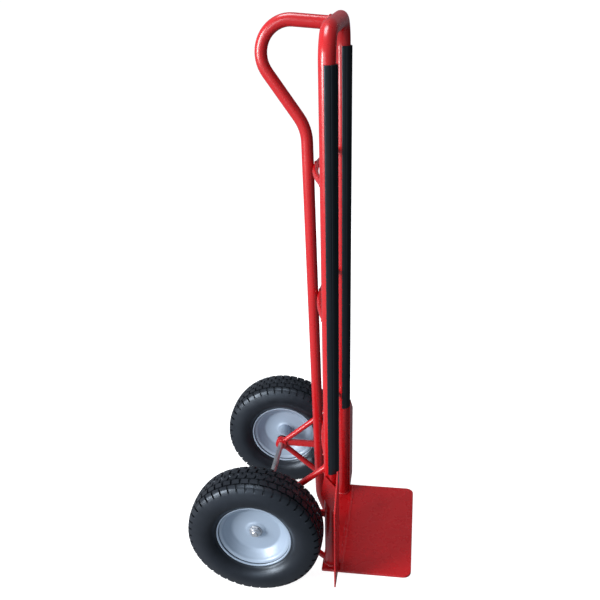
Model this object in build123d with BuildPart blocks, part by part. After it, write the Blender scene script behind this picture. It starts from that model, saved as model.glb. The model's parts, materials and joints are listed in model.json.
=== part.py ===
"""P-handle hand truck: welded tube frame, nose plate, axle brackets and two wheels on a fixed axle.

Millimetres. +Z is up, -Y is the nose (load) side, +Y the side the user stands on, +X the user's left.
The origin is on the floor, midway between the two uprights.
"""
import os

from build123d import *

# ------------------------------------------------------------------ driving dimensions
# frame loop: two uprights joined by a short arch
tube_diameter = 26.0
tube_wall = 2.0
upright_spacing = 228.0            # between upright axes
frame_height = 1013.0              # floor to the top of the arch
arch_bend_radius = 42.0            # at the tube's axis

# nose plate
nose_length = 180.0
nose_side_margin = 11.5            # plate outside the uprights, each side
nose_back_margin = 5.0             # plate behind the uprights
nose_thickness = 5.0
nose_front_corner = 16.0
nose_rear_corner = 3.0
crease_width = 9.0
crease_height = 1.6

# single-tube P handle
handle_diameter = 20.0
handle_wall = 2.0
handle_grip_radius = 48.0          # grip bend, at the tube's axis
handle_corner_back = 169.0         # where the top run and the slanting run would meet,
handle_corner_rise = 14.5          # behind the uprights and above the arch axis
handle_neck_drop = 155.0           # arch axis down to the corner below the grip
handle_neck_radius = 70.0
handle_neck_back = 48.0            # tube axis behind the uprights at that corner
handle_heel_back = 36.0            # and at the corner above the nose plate
handle_heel_height = 88.0
handle_heel_radius = 80.0
handle_foot_back = 7.0

# cross bars, bowed back from the uprights to the handle tube
cross_bar_diameter = 10.0
cross_bar_seat_back = 8.0          # bar axis behind the upright axis, at the upright
cross_bar_upper_drop = 214.0       # below the arch axis
cross_bar_middle_drop = 444.0
cross_bar_lower_height = 276.0

# rub strips, clipped over the front of the uprights
strip_thickness = 3.0
strip_end_gap = 1.0                # from the guard's tab up to the strip, and from the strip to the arch bend
strip_wrap_outboard = 104.0        # degrees round from straight ahead
strip_wrap_inboard = 93.0

# wheel guards, folded from sheet
guard_thickness = 3.0
guard_reach = 58.0                 # guard wing, out from the upright's outer side
guard_outer_height = 195.0
guard_inner_rise = 8.0             # wing's inner corner above the foot of the rub strip
guard_corner = 4.0
tab_low = 140.0                    # bottom and top of the folded tab at the wing
tab_high = 205.0
tab_run = 33.0                     # how far the tab runs back
tab_rise = 34.0                    # how far it climbs on the way
tab_tail_drop = 12.0               # its lower edge ends this far below tab_high
tab_peak_share = 0.8               # its highest point, as a share of its run
tab_belly_run = 0.55               # a point on its lower edge, as shares of its run and rise
tab_belly_rise = 0.42

# axle and brackets
axle_diameter = 12.0
axle_chamfer = 1.0
eye_wall = 6.5
eye_width = 16.0
strut_diameter = 12.0
middle_bar_height = 14.0
middle_bar_thickness = 6.0
middle_bar_lift = 3.0

# wheels
wheel_diameter = 260.0
wheel_setback = 9.0                # front of the tyre behind the upright axes
tyre_width = 84.0
tread_width = 62.0
shoulder_drop = 4.0                # tread edge below the crown
shoulder_fall = 9.6                # and the start of the side wall below the crown
shoulder_lean = 3.0                # side wall starts this far outside the tread edge
belly_drop = 3.0                   # widest point below the middle of the side wall
bead_rise = 3.0                    # tyre bead above the rim lip
tread_groove_depth = 4.0
tread_groove_width = 5.0
rim_lip_radius = 73.0
rim_lip_bead = 2.0                 # radius of the rolled lip
rim_half_width = 22.0              # wheel's middle to the tyre side of the lip
rim_sheet = 2.5
rim_lean = 3.5                     # lip leans outboard from its foot by this much
rim_seat_drop = 7.0                # bead seat below the lip
rim_seat_width = 4.0
rim_seat_fall = 2.0                # how far the bead seat falls towards the middle
rim_disc_radius = 50.0
hub_wall = 3.0
hub_overhang = 2.0                 # hub beyond the inboard side of the tyre
hub_outboard = 5.0                 # hub beyond the wheel's middle, away from the frame
bearing_section = 6.0              # radial, between the axle and the hub
bearing_width = 6.0
bearing_ring = 1.6
ball_count = 9

# small hardware
spacer_wall = 1.5
spacer_length = 4.0
washer_diameter = 24.0
washer_thickness = 2.0
nut_across_flats = 19.0
nut_height = 8.0
axle_thread_proud = 2.5

# clearances
ring_proud = 0.4                   # bearing inner rings stand this far out of the hub
running_gap = 0.05                 # radial, between parts that turn on each other
seat_gap = 0.3                     # between the tyre and the rim sheet
crease_gap = 0.5                   # between the guards and the nose plate's crease

# ------------------------------------------------------------------ derived places
tube_radius = tube_diameter / 2
upright_x = upright_spacing / 2
arch_z = frame_height - tube_radius
wheel_radius = wheel_diameter / 2
axle_z = wheel_radius
axle_back = wheel_radius + wheel_setback
strut_span = axle_z - nose_thickness            # outer struts reach this far above and below the axle
eye_diameter = axle_diameter + 2 * eye_wall
bearing_diameter = axle_diameter + 2 * bearing_section
hub_diameter = bearing_diameter + 2 * hub_wall
hub_inboard = tyre_width / 2 + hub_overhang     # hub from the wheel's middle towards the frame
wheel_x = upright_x + eye_width / 2 + spacer_length + ring_proud + hub_inboard
nose_width = upright_spacing + tube_diameter + 2 * nose_side_margin
nose_back = tube_radius + nose_back_margin
nose_centre_y = nose_back - nose_length / 2
crease_y = -(tube_radius + guard_thickness + crease_gap + crease_width / 2)
cross_bar_heights = {"upper": arch_z - cross_bar_upper_drop,
                     "middle": arch_z - cross_bar_middle_drop,
                     "lower": cross_bar_lower_height}
strip_bottom = tab_high + tab_rise + strip_end_gap
strip_top = arch_z - arch_bend_radius - strip_end_gap
sides = {"right": -1, "left": 1}


def save(piece, name):
    """Label a finished piece and write it as one STEP file."""
    piece.label = name
    export_step(piece, f"parts/{name}.step")


def tube_section(path, diameter, wall):
    """Ring-shaped sketch square to the start of a path."""
    start = Plane(origin=path @ 0, z_dir=path % 0)
    with BuildSketch(start) as ring:
        Circle(diameter / 2)
        Circle(diameter / 2 - wall, mode=Mode.SUBTRACT)
    return ring.sketch


def upright_envelopes():
    """Solid bars filling both uprights, used to cope what is welded to them."""
    with BuildPart() as bars:
        with Locations((-upright_x, 0, 0), (upright_x, 0, 0)):
            Cylinder(tube_radius, frame_height, align=(Align.CENTER, Align.CENTER, Align.MIN))
    return bars.part


def arch_envelope():
    """Solid bar along the arch's straight top, used to cope the handle tube."""
    with BuildPart() as bar:
        with BuildSketch(Plane(origin=(-upright_x, 0, arch_z), z_dir=(1, 0, 0))):
            Circle(tube_radius)
        extrude(amount=upright_spacing)
    return bar.part


def wheel_plane(side, along=0.0):
    """Section plane of a wheel: local x outboard, local y up, origin on the axle."""
    return Plane(origin=(side * (wheel_x + along), axle_back, axle_z),
                 x_dir=(side, 0, 0), z_dir=(0, -side, 0))


def disc_plane(side, along=0.0):
    """Plane square to the axle, facing outboard, at a distance from the wheel's middle."""
    return Plane(origin=(side * (wheel_x + along), axle_back, axle_z), z_dir=(side, 0, 0))


axle_axis = Axis((0, axle_back, axle_z), (1, 0, 0))

os.makedirs("parts", exist_ok=True)

# ------------------------------------------------------------------ frame loop
with BuildPart() as frame_loop:
    with BuildLine() as loop_path:
        FilletPolyline((-upright_x, 0, nose_thickness), (-upright_x, 0, arch_z),
                       (upright_x, 0, arch_z), (upright_x, 0, nose_thickness),
                       radius=arch_bend_radius)
    sweep(tube_section(loop_path.wire(), tube_diameter, tube_wall), path=loop_path.wire())
save(frame_loop.part, "frame_loop")

uprights = upright_envelopes()
arch_bar = arch_envelope()

# ------------------------------------------------------------------ nose plate
with BuildPart() as nose_plate:
    with BuildSketch(Plane.XY):
        with Locations((0, nose_centre_y)):
            Rectangle(nose_width, nose_length)
    extrude(amount=nose_thickness)
    front_corners = nose_plate.edges().filter_by(Axis.Z).group_by(Axis.Y)[0]
    fillet(front_corners, radius=nose_front_corner)
    rear_corners = nose_plate.edges().filter_by(Axis.Z).group_by(Axis.Y)[-1]
    fillet(rear_corners, radius=nose_rear_corner)
    with BuildSketch(Plane(origin=(-nose_width / 2, crease_y, nose_thickness), z_dir=(1, 0, 0))):
        Ellipse(crease_width / 2, crease_height, rotation=90)
    extrude(amount=nose_width)
save(nose_plate.part, "nose_plate")

# ------------------------------------------------------------------ P handle
neck_z = arch_z - handle_neck_drop
with BuildPart() as handle_tube:
    with BuildLine() as handle_path:
        FilletPolyline((0, 0, arch_z),
                       (0, handle_corner_back, arch_z + handle_corner_rise),
                       (0, handle_neck_back, neck_z),
                       (0, handle_heel_back, handle_heel_height),
                       (0, handle_foot_back, 0),
                       radius=[handle_grip_radius, handle_neck_radius, handle_heel_radius])
    sweep(tube_section(handle_path.wire(), handle_diameter, handle_wall), path=handle_path.wire())
    add(arch_bar, mode=Mode.SUBTRACT)
    split(bisect_by=Plane.XY.offset(nose_thickness), keep=Keep.TOP)
save(handle_tube.part, "handle_tube")

# ------------------------------------------------------------------ cross bars
handle_lean = (handle_neck_back - handle_heel_back) / (neck_z - handle_heel_height)
for level, height in cross_bar_heights.items():
    handle_y = handle_heel_back + handle_lean * (height - handle_heel_height)
    bow_y = handle_y - (handle_diameter + cross_bar_diameter) / 2
    with BuildPart() as cross_bar:
        with BuildLine() as bar_path:
            ThreePointArc((-upright_x, cross_bar_seat_back, height), (0, bow_y, height),
                          (upright_x, cross_bar_seat_back, height))
        with BuildSketch(Plane(origin=bar_path.wire() @ 0, z_dir=bar_path.wire() % 0)):
            Circle(cross_bar_diameter / 2)
        sweep(path=bar_path.wire())
        add(uprights, mode=Mode.SUBTRACT)
    save(cross_bar.part, f"cross_bar_{level}")

# ------------------------------------------------------------------ rub strips
for side_name, side in sides.items():
    start_angle = -90 - (strip_wrap_inboard if side > 0 else strip_wrap_outboard)
    with BuildPart() as rub_strip:
        with BuildSketch(Plane((side * upright_x, 0, strip_bottom))):
            with BuildLine():
                CenterArc((0, 0), tube_radius + strip_thickness / 2, start_angle,
                          strip_wrap_inboard + strip_wrap_outboard)
                offset(amount=strip_thickness / 2)
            make_face()
        extrude(amount=strip_top - strip_bottom)
        add(uprights, mode=Mode.SUBTRACT)
    save(rub_strip.part, f"rub_strip_{side_name}")

# ------------------------------------------------------------------ wheel guards
guard_x = upright_x + tube_radius
guard_front_y = -tube_radius - guard_thickness
for side_name, side in sides.items():
    with BuildPart() as wheel_guard:
        # wing, square to the direction of travel, out in front of the wheel
        with BuildSketch(Plane.XZ.offset(tube_radius)):
            with BuildLine():
                Polyline((side * upright_x, nose_thickness),
                         (side * (guard_x + guard_reach), nose_thickness),
                         (side * (guard_x + guard_reach), guard_outer_height),
                         (side * guard_x, strip_bottom + guard_inner_rise),
                         (side * guard_x, strip_bottom - strip_end_gap),
                         (side * upright_x, strip_bottom - strip_end_gap),
                         close=True)
            make_face()
        extrude(amount=guard_thickness)
        outer_edges = wheel_guard.edges().filter_by(Axis.Y).group_by(Axis.X)[0 if side < 0 else -1]
        fillet(outer_edges, radius=guard_corner)
        # tab folded back along the outer side of the upright
        with BuildSketch(Plane(origin=(side * guard_x, 0, 0), x_dir=(0, side, 0), z_dir=(side, 0, 0))):
            with BuildLine():
                belly = (side * (guard_front_y + tab_run * tab_belly_run),
                         tab_low + tab_rise * tab_belly_rise)
                tail = (side * (guard_front_y + tab_run), tab_high - tab_tail_drop)
                low = Spline((side * guard_front_y, tab_low), belly, tail,
                             tangents=[(side * 0.6, 1), (side * 0.5, 1)])
                Polyline(low @ 1, (side * (guard_front_y + tab_run * tab_peak_share), tab_high + tab_rise),
                         (side * guard_front_y, tab_high), low @ 0)
            make_face()
        extrude(amount=guard_thickness)
    save(wheel_guard.part, f"wheel_guard_{side_name}")

# ------------------------------------------------------------------ axle brackets
for side_name, side in sides.items():
    bracket_x = side * upright_x
    eye_centre = Vector(bracket_x, axle_back, axle_z)
    with BuildPart() as axle_eye:
        with BuildSketch(Plane(origin=(bracket_x - eye_width / 2, axle_back, axle_z), z_dir=(1, 0, 0))):
            Circle(eye_diameter / 2)
            Circle(axle_diameter / 2 + running_gap, mode=Mode.SUBTRACT)
        extrude(amount=eye_width)
    save(axle_eye.part, f"axle_eye_{side_name}")

    with BuildPart(mode=Mode.PRIVATE) as eye_bar:
        with BuildSketch(Plane(origin=(bracket_x - eye_width / 2, axle_back, axle_z), z_dir=(1, 0, 0))):
            Circle(eye_diameter / 2)
        extrude(amount=eye_width)

    for strut_name, rise in (("upper", strut_span), ("lower", -strut_span)):
        foot = Vector(bracket_x, 0, axle_z + rise)
        run = foot - eye_centre
        with BuildPart() as strut:
            with BuildSketch(Plane(origin=eye_centre, z_dir=run)):
                Circle(strut_diameter / 2)
            extrude(amount=run.length)
            add(uprights, mode=Mode.SUBTRACT)
            add(eye_bar.part, mode=Mode.SUBTRACT)
            split(bisect_by=Plane.XY.offset(nose_thickness), keep=Keep.TOP)
        save(strut.part, f"{strut_name}_strut_{side_name}")

    with BuildPart() as middle_bar:
        with BuildSketch(Plane(origin=(bracket_x, 0, axle_z + middle_bar_lift),
                               x_dir=(1, 0, 0), z_dir=(0, 1, 0))):
            Rectangle(middle_bar_thickness, middle_bar_height)
        extrude(amount=axle_back)
        add(uprights, mode=Mode.SUBTRACT)
        add(eye_bar.part, mode=Mode.SUBTRACT)
        for neighbour in (strut_span, -strut_span):
            with BuildSketch(Plane(origin=eye_centre, z_dir=(0, -axle_back, neighbour))):
                Circle(strut_diameter / 2)
            extrude(amount=axle_back, mode=Mode.SUBTRACT)
    save(middle_bar.part, f"middle_strut_{side_name}")

# ------------------------------------------------------------------ axle
nut_seat = hub_outboard + ring_proud + washer_thickness
axle_half = wheel_x + nut_seat + nut_height + axle_thread_proud
with BuildPart() as axle:
    with BuildSketch(Plane(origin=(-axle_half, axle_back, axle_z), z_dir=(1, 0, 0))):
        Circle(axle_diameter / 2)
    extrude(amount=2 * axle_half)
    chamfer(axle.edges().group_by(Axis.X)[0], length=axle_chamfer)
    chamfer(axle.edges().group_by(Axis.X)[-1], length=axle_chamfer)
save(axle.part, "axle")


def axle_ring(side, inner_face, outer_radius, length, inner_radius=axle_diameter / 2):
    """Plain ring on the axle, from inner_face outwards, measured from the wheel's middle."""
    with BuildPart() as ring:
        with BuildSketch(disc_plane(side, inner_face)):
            Circle(outer_radius)
            Circle(inner_radius, mode=Mode.SUBTRACT)
        extrude(amount=length)
    return ring.part


# ------------------------------------------------------------------ wheels
bearing_radius = bearing_diameter / 2
inner_ring_radius = axle_diameter / 2 + bearing_ring
outer_ring_bore = bearing_radius - bearing_ring
ball_pitch = (inner_ring_radius + outer_ring_bore) / 2
ball_radius = (outer_ring_bore - inner_ring_radius) / 2 - running_gap
bearing_starts = (-hub_inboard, hub_outboard - bearing_width)
rim_seat_radius = rim_lip_radius - rim_seat_drop
rim_foot = rim_half_width - rim_lean            # outboard edge of the bead seat
rim_step = rim_foot - rim_seat_width            # and its inboard edge
rim_slant = rim_sheet * 0.7                     # sheet thickness along either axis where it slants
hub_radius = hub_diameter / 2
belly_radius = (rim_lip_radius + wheel_radius) / 2 - belly_drop

for side_name, side in sides.items():
    # solid tyre, moulded to the outside of the two rim halves
    with BuildPart() as tyre:
        with BuildSketch(wheel_plane(side)):
            with BuildLine():
                bead = Polyline((0, rim_disc_radius + seat_gap),
                                (rim_step, rim_seat_radius - rim_seat_fall + seat_gap),
                                (rim_foot, rim_seat_radius + seat_gap),
                                (rim_half_width, rim_lip_radius + bead_rise))
                side_wall = ThreePointArc(bead @ 1, (tyre_width / 2, belly_radius),
                                          (tread_width / 2 + shoulder_lean, wheel_radius - shoulder_fall))
                shoulder = Line(side_wall @ 1, (tread_width / 2, wheel_radius - shoulder_drop))
                crown = ThreePointArc(shoulder @ 1, (tread_width / 4, wheel_radius - shoulder_drop / 4),
                                      (0, wheel_radius))
                Line(crown @ 1, bead @ 0)
            make_face()
            mirror(about=Plane.YZ)
            with Locations((-tread_width / 6, wheel_radius), (tread_width / 6, wheel_radius)):
                Rectangle(tread_groove_width, 2 * tread_groove_depth, mode=Mode.SUBTRACT)
        revolve(axis=axle_axis)
    save(tyre.part, f"tyre_{side_name}")

    # two pressed rim halves, back to back on the hub
    for half_name, facing in (("outer", 1), ("inner", -1)):
        with BuildPart() as rim:
            with BuildSketch(wheel_plane(side)):
                with BuildLine():
                    Polyline((0, hub_radius),
                             (facing * rim_sheet, hub_radius),
                             (facing * rim_sheet, rim_disc_radius - rim_slant),
                             (facing * (rim_step + rim_slant), rim_seat_radius - rim_seat_fall - rim_slant),
                             (facing * (rim_foot + rim_slant), rim_seat_radius - rim_slant),
                             (facing * (rim_half_width + rim_sheet), rim_lip_radius - rim_lip_bead),
                             (facing * (rim_half_width + rim_sheet), rim_lip_radius),
                             (facing * rim_half_width, rim_lip_radius),
                             (facing * rim_foot, rim_seat_radius),
                             (facing * rim_step, rim_seat_radius - rim_seat_fall),
                             (0, rim_disc_radius),
                             close=True)
                make_face()
                with Locations((facing * (rim_half_width + rim_sheet / 2), rim_lip_radius - rim_sheet / 2)):
                    Circle(rim_lip_bead)
            revolve(axis=axle_axis)
        save(rim.part, f"rim_{half_name}_{side_name}")

    hub = axle_ring(side, -hub_inboard, hub_radius, hub_inboard + hub_outboard, bearing_radius)
    save(hub, f"hub_{side_name}")

    # one ball bearing pressed into each end of the hub
    with BuildPart() as outer_rings:
        for start in bearing_starts:
            add(axle_ring(side, start, bearing_radius, bearing_width, outer_ring_bore))
    save(outer_rings.part, f"bearing_outer_rings_{side_name}")

    with BuildPart() as inner_rings:
        add(axle_ring(side, bearing_starts[0] - ring_proud, inner_ring_radius,
                      bearing_width + ring_proud))
        add(axle_ring(side, bearing_starts[1], inner_ring_radius, bearing_width + ring_proud))
    save(inner_rings.part, f"bearing_inner_rings_{side_name}")

    with BuildPart() as balls:
        for start in bearing_starts:
            with Locations(disc_plane(side, start + bearing_width / 2)):
                with PolarLocations(ball_pitch, ball_count):
                    Sphere(ball_radius)
    save(balls.part, f"bearing_balls_{side_name}")

    spacer = axle_ring(side, -hub_inboard - ring_proud - spacer_length,
                       axle_diameter / 2 + spacer_wall, spacer_length)
    save(spacer, f"spacer_{side_name}")

    washer = axle_ring(side, hub_outboard + ring_proud, washer_diameter / 2, washer_thickness)
    save(washer, f"washer_{side_name}")

    with BuildPart() as lock_nut:
        with BuildSketch(disc_plane(side, nut_seat)):
            RegularPolygon(nut_across_flats / 2, 6, major_radius=False)
            Circle(axle_diameter / 2, mode=Mode.SUBTRACT)
        extrude(amount=nut_height)
    save(lock_nut.part, f"lock_nut_{side_name}")
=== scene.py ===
"""Looks of the P-handle hand truck: materials, tyres, rims, sheet metal, welds, camera and light.

Metres, in the CAD frame: +Z up, -Y towards the nose plate, the axle along X.
"""

import json
import math

import bmesh
import bpy
from mathutils import Matrix, Vector


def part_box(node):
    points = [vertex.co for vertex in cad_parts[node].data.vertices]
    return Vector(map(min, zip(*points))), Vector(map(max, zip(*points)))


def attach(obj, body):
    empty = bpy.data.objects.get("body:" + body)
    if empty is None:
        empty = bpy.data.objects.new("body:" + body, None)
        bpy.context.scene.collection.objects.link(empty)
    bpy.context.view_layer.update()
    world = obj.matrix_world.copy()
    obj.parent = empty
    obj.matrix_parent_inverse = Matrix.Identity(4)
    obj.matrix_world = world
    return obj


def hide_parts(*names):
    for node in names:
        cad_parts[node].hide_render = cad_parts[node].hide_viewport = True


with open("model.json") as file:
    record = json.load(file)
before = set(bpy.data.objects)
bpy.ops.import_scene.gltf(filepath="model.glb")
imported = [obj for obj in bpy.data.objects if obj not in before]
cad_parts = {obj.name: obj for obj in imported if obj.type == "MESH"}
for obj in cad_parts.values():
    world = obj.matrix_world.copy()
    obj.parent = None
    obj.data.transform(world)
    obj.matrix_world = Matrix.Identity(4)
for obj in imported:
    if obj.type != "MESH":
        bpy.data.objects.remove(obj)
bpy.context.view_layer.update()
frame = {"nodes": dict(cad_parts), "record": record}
nodes = frame["nodes"]
MM = 0.001
SIDES = {"right": -1, "left": 1}


# ------------------------------------------------------------------ materials
class Recipe:
    """A small builder for a node material on one Principled shader."""

    def __init__(self, name):
        self.material = bpy.data.materials.new(name)
        self.material.use_nodes = True
        self.tree = self.material.node_tree
        self.shader = self.tree.nodes["Principled BSDF"]
        self.coordinates = self.node("ShaderNodeTexCoord").outputs["Object"]

    def node(self, kind, **settings):
        made = self.tree.nodes.new(kind)
        for key, value in settings.items():
            if hasattr(made, key):
                setattr(made, key, value)
            else:
                made.inputs[key].default_value = value
        return made

    def link(self, source, target):
        self.tree.links.new(source, target)

    def set(self, **values):
        for key, value in values.items():
            self.shader.inputs[key.replace("_", " ")].default_value = value

    def stretched(self, scale):
        """Object coordinates, scaled differently along each axis."""
        mapping = self.node("ShaderNodeMapping")
        mapping.inputs["Scale"].default_value = scale
        self.link(self.coordinates, mapping.inputs["Vector"])
        return mapping.outputs["Vector"]

    def noise(self, scale, detail=3.0, rough=0.55, vector=None):
        made = self.node("ShaderNodeTexNoise")
        made.inputs["Scale"].default_value = scale
        made.inputs["Detail"].default_value = detail
        made.inputs["Roughness"].default_value = rough
        self.link(vector or self.coordinates, made.inputs["Vector"])
        return made.outputs["Fac"]

    def voronoi(self, scale):
        made = self.node("ShaderNodeTexVoronoi")
        made.inputs["Scale"].default_value = scale
        self.link(self.coordinates, made.inputs["Vector"])
        return made.outputs["Distance"]

    def ramp(self, factor, stops):
        """Colour or grey ramp: stops are (position, colour or grey)."""
        made = self.node("ShaderNodeValToRGB")
        elements = made.color_ramp.elements
        while len(elements) < len(stops):
            elements.new(0.5)
        for element, (position, value) in zip(elements, stops):
            element.position = position
            grey = isinstance(value, (int, float))
            element.color = (value, value, value, 1) if grey else (*value, 1)
        self.link(factor, made.inputs["Fac"])
        return made.outputs["Color"]

    def mix(self, factor, low, high):
        made = self.node("ShaderNodeMix", data_type="RGBA")
        for key, value in (("Factor", factor), ("A", low), ("B", high)):
            socket = made.inputs[key]
            if isinstance(value, bpy.types.NodeSocket):
                self.link(value, socket)
            elif isinstance(value, tuple):
                socket.default_value = (*value, 1)
            else:
                socket.default_value = value
        return made.outputs["Result"]

    def bumps(self, *layers):
        """Stack bump layers, each (height, strength, distance in metres)."""
        normal = None
        for height, strength, distance in layers:
            bump = self.node("ShaderNodeBump")
            bump.inputs["Strength"].default_value = strength
            bump.inputs["Distance"].default_value = distance
            self.link(height, bump.inputs["Height"])
            if normal is not None:
                self.link(normal, bump.inputs["Normal"])
            normal = bump.outputs["Normal"]
        self.link(normal, self.shader.inputs["Normal"])

    def colour(self, output):
        self.link(output, self.shader.inputs["Base Color"])

    def roughness(self, output):
        self.link(output, self.shader.inputs["Roughness"])


def red_powder_coat():
    """Glossy red powder coat with orange peel, faint colour drift and a few handling scuffs."""
    r = Recipe("red_powder_coat")
    drift = r.ramp(r.noise(5, 2), [(0.35, (0.41, 0.0040, 0.0060)), (0.65, (0.45, 0.0050, 0.0075))])
    scuff = r.ramp(r.noise(90, 6, 0.7, r.stretched((1, 1, 0.35))), [(0.70, 0.0), (0.78, 1.0)])
    r.colour(r.mix(scuff, drift, (0.36, 0.005, 0.008)))
    r.roughness(r.ramp(r.noise(45, 4), [(0.3, 0.24), (0.7, 0.32)]))
    r.set(Specular_IOR_Level=0.5, Coat_Weight=0.24, Coat_Roughness=0.10)
    r.bumps((r.noise(620, 2), 0.08, 0.0003), (scuff, 0.15, 0.00006))
    return r.material


def strip_plastic():
    """Extruded black plastic with fine draw lines along its length."""
    r = Recipe("strip_plastic")
    lines = r.noise(900, 2, 0.5, r.stretched((1, 1, 0.01)))
    r.colour(r.ramp(r.noise(14, 3),
                    [(0.3, (0.0035, 0.0040, 0.0050)), (0.7, (0.0060, 0.0070, 0.0085))]))
    r.roughness(r.ramp(r.noise(60, 4), [(0.3, 0.30), (0.7, 0.38)]))
    r.set(Specular_IOR_Level=0.45, Specular_Tint=(0.72, 0.88, 1.0, 1))
    r.bumps((lines, 0.10, 0.0002), (r.noise(240, 3), 0.04, 0.0002))
    return r.material


def tyre_rubber():
    """Moulded black rubber, slightly bloomed, with a fine leathery skin."""
    r = Recipe("tyre_rubber")
    bloom = r.ramp(r.noise(24, 5, 0.65),
                   [(0.35, (0.0040, 0.0046, 0.0064)), (0.70, (0.0080, 0.0092, 0.0128))])
    dust = r.ramp(r.noise(160, 5, 0.7), [(0.62, 0.0), (0.78, 1.0)])
    r.colour(r.mix(dust, bloom, (0.016, 0.018, 0.023)))
    r.roughness(r.ramp(r.noise(40, 4), [(0.3, 0.34), (0.7, 0.44)]))
    r.set(Specular_IOR_Level=0.50, Specular_Tint=(0.74, 0.86, 1.0, 1))
    r.bumps((r.noise(420, 4), 0.20, 0.0003), (r.voronoi(900), 0.06, 0.0002))
    return r.material


def rim_paint():
    """Silver-grey wheel paint with metallic flake and soft spray texture."""
    r = Recipe("rim_paint")
    flake = r.ramp(r.voronoi(2600), [(0.0, (0.26, 0.32, 0.41)), (0.5, (0.30, 0.37, 0.46))])
    r.colour(r.mix(r.ramp(r.noise(18, 3), [(0.4, 0.0), (0.7, 0.25)]), flake, (0.34, 0.41, 0.50)))
    r.roughness(r.ramp(r.noise(55, 4), [(0.3, 0.38), (0.7, 0.48)]))
    r.set(Metallic=0.12, Specular_IOR_Level=0.5, Coat_Weight=0.12, Coat_Roughness=0.25)
    r.bumps((r.noise(700, 2), 0.06, 0.0003),)
    return r.material


def zinc_steel():
    """Bright zinc plating with turning marks and cloudy passivation."""
    r = Recipe("zinc_steel")
    r.colour(r.ramp(r.noise(60, 4), [(0.3, (0.50, 0.51, 0.53)), (0.7, (0.66, 0.67, 0.69))]))
    r.roughness(r.ramp(r.noise(160, 4), [(0.3, 0.26), (0.7, 0.42)]))
    r.set(Metallic=0.9)
    r.bumps((r.noise(1500, 2, 0.5, r.stretched((2.5, 0.15, 0.15))), 0.12, 0.0001),)
    return r.material


def bearing_steel():
    """Ground bearing steel with a light oil film."""
    r = Recipe("bearing_steel")
    r.colour(r.ramp(r.noise(90, 3), [(0.3, (0.42, 0.42, 0.42)), (0.7, (0.55, 0.55, 0.54))]))
    r.roughness(r.ramp(r.noise(200, 3), [(0.3, 0.16), (0.7, 0.28)]))
    r.set(Metallic=1.0)
    r.bumps((r.noise(1800, 2), 0.05, 0.00005),)
    return r.material


def nylon():
    """Translucent-looking blue-white nylon of a lock nut's insert."""
    r = Recipe("nylon_insert")
    r.colour(r.ramp(r.noise(120, 3), [(0.3, (0.30, 0.38, 0.50)), (0.7, (0.40, 0.48, 0.58))]))
    r.roughness(r.ramp(r.noise(200, 3), [(0.3, 0.35), (0.7, 0.5)]))
    r.bumps((r.noise(900, 2), 0.05, 0.0001),)
    return r.material


def weld_paint():
    """Powder coat over a weld bead: a little deeper and glossier in the ripples."""
    r = Recipe("weld_paint")
    r.colour(r.ramp(r.noise(220, 4), [(0.3, (0.36, 0.005, 0.008)), (0.7, (0.50, 0.009, 0.012))]))
    r.roughness(r.ramp(r.noise(260, 3), [(0.3, 0.20), (0.7, 0.34)]))
    r.set(Coat_Weight=0.3, Coat_Roughness=0.12)
    r.bumps((r.noise(900, 3), 0.2, 0.0003),)
    return r.material


RED = red_powder_coat()
STRIP = strip_plastic()
RUBBER = tyre_rubber()
RIM = rim_paint()
ZINC = zinc_steel()
BEARING = bearing_steel()
NYLON = nylon()
WELD = weld_paint()
SLOT_MATERIAL = {"red_paint": RED, "rub_strip": STRIP, "tyre": RUBBER, "rim_paint": RIM,
                 "zinc_steel": ZINC, "bearing_steel": BEARING}


def paint_cad_nodes():
    """Give every CAD node the material of its record slot."""
    for row in frame["record"]["subparts"]:
        node = nodes[row["node"]]
        node.data.materials.clear()
        node.data.materials.append(SLOT_MATERIAL[row["material_slot"]])


# ------------------------------------------------------------------ mesh tools
def finish_piece(name, mesh, material, body, replaced=(), angle=35):
    """Turn a bmesh into a piece: link, shade, paint and attach it."""
    bmesh.ops.recalc_face_normals(mesh, faces=mesh.faces)
    data = bpy.data.meshes.new(name)
    mesh.to_mesh(data)
    mesh.free()
    piece = bpy.data.objects.new(name, data)
    bpy.context.scene.collection.objects.link(piece)
    for face in data.polygons:
        face.use_smooth = True
    data.set_sharp_from_angle(angle=math.radians(angle))
    normals = piece.modifiers.new("normals", "WEIGHTED_NORMAL")
    normals.keep_sharp = True
    data.materials.append(material)
    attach(piece, body)
    if replaced:
        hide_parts(*replaced)


def loft_rings(mesh, rings, closed_ring=True, closed_loft=False, caps=False):
    """Skin a list of vertex rings with quads."""
    made = [[mesh.verts.new(point) for point in ring] for ring in rings]
    count = len(made[0])
    pairs = list(zip(made, made[1:] + ([made[0]] if closed_loft else [])))
    pairs = pairs if closed_loft else pairs[: len(made) - 1]
    for a, b in pairs:
        for i in range(count if closed_ring else count - 1):
            j = (i + 1) % count
            mesh.faces.new((a[i], a[j], b[j], b[i]))
    if caps:
        mesh.faces.new(made[0])
        mesh.faces.new(made[-1])
    return made


AXLE_LOW, AXLE_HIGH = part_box("axle")
AXLE_Y = (AXLE_LOW.y + AXLE_HIGH.y) / 2
AXLE_Z = (AXLE_LOW.z + AXLE_HIGH.z) / 2
TYRE_LOW, TYRE_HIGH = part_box("tyre_left")
WHEEL_RADIUS = (TYRE_HIGH.z - TYRE_LOW.z) / 2
WHEEL_X = (TYRE_HIGH.x + TYRE_LOW.x) / 2
AXLE_RADIUS = (AXLE_HIGH.z - AXLE_LOW.z) / 2
LOOP_LOW, LOOP_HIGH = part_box("frame_loop")
TUBE_RADIUS = (LOOP_HIGH.y - LOOP_LOW.y) / 2
UPRIGHT_X = LOOP_HIGH.x - TUBE_RADIUS
HANDLE_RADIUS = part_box("handle_tube")[1].x
STRUT_RADIUS = 6 * MM
BAR_SEAT = 8 * MM                   # cross bar axes behind the upright axes, at the uprights
BAR_THICKNESS = 6 * MM              # flat middle bar of each axle bracket
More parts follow.
